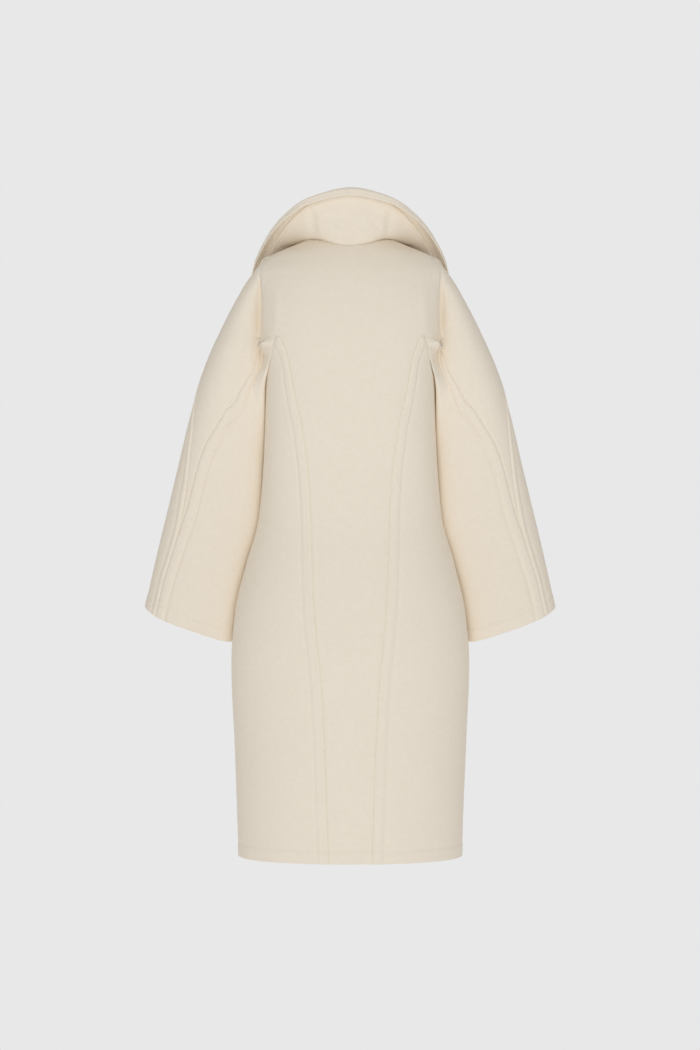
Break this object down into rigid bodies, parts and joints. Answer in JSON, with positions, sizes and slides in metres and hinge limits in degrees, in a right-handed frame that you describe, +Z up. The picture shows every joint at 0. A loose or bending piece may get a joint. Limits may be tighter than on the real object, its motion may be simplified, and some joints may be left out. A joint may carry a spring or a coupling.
{
  "type": "single-breasted coat",
  "caption": "Mid-length single-breasted coat with kimono shoulders, a wide portrait collar, panelled waist and wide sleeves, open at neck, cuffs and hem, filled out as when worn.",
  "frame": {"origin": "between the shoulders at the height of the neck points, where the wearer carries the coat", "axes": "+Z up along the coat's length, -Y out of the front, +Y out of the back, +X towards the wearer's left sleeve"},
  "size_m": [0.6804, 0.292, 1.0864],
  "materials": {
    "cloth": "matte felted wool, cream",
    "button": "satin, cream"
  },
  "bodies": {
    "root": {"back": "cloth", "front_left": "cloth", "front_right": "cloth", "side_left": "cloth", "side_right": "cloth", "under_sleeve_left": "cloth", "under_sleeve_right": "cloth", "under_collar": "cloth", "lapel_left": "cloth", "lapel_right": "cloth", "upper_collar": "cloth", "facing_left": "cloth", "facing_right": "cloth", "button_1": "button", "button_2": "button", "button_3": "button"}
  },
  "joints": []
}
